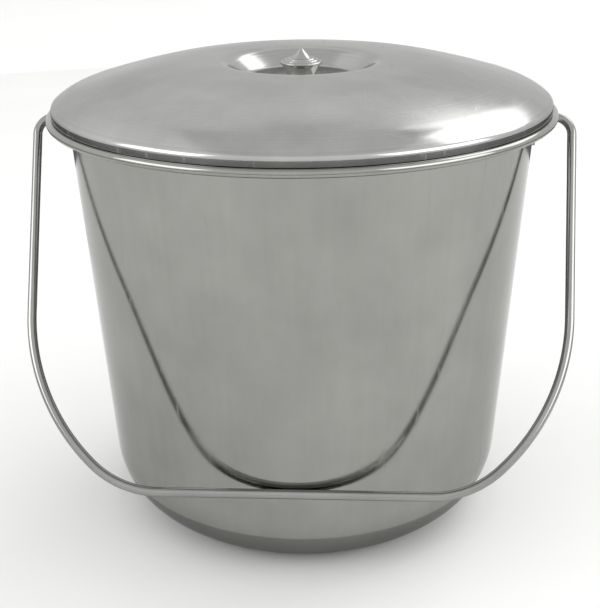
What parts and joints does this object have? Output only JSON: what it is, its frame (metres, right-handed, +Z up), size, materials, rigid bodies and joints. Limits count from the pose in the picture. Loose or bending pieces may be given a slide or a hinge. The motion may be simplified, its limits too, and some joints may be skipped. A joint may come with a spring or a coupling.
{
  "type": "lidded commode pail",
  "caption": "Round tapered steel toilet pail with a rolled rim, a domed lift-off lid with a sunk knob, and a rod bail handle that swings in side ears.",
  "frame": {"origin": "centre of the base plane, on the pail's vertical axis", "axes": "+Z up along the pail's axis, X along the bail's pivots, the bail hangs at rest on the -Y side"},
  "size_m": [0.3026, 0.28, 0.2679],
  "materials": {
    "pail_steel": "satin, lightly streaked up the wall",
    "lid_steel": "fine spun satin",
    "bail_steel": "bright drawn rod",
    "turned_steel": "bright turned",
    "fastener_steel": "plain"
  },
  "bodies": {
    "pail": {"pail_shell": "pail_steel", "left_ear": "fastener_steel", "right_ear": "fastener_steel", "left_ear_rivets": "fastener_steel", "right_ear_rivets": "fastener_steel"},
    "bail": {"bail_handle": "bail_steel"},
    "lid": {"lid_shell": "lid_steel", "lid_locating_ring": "fastener_steel", "lid_knob": "turned_steel", "knob_screw": "fastener_steel", "knob_washer": "fastener_steel"}
  },
  "joints": [
    {"name": "bail_swing", "type": "hinge", "parent": "pail", "child": "bail", "pos_m": [0, 0, 0.23], "axis": [-1, 0, 0], "range_deg": [0, 290.4]},
    {"name": "lid_lift", "type": "slide", "parent": "pail", "child": "lid", "axis": [0, 0, 1], "range_m": [0, 0.15]}
  ]
}
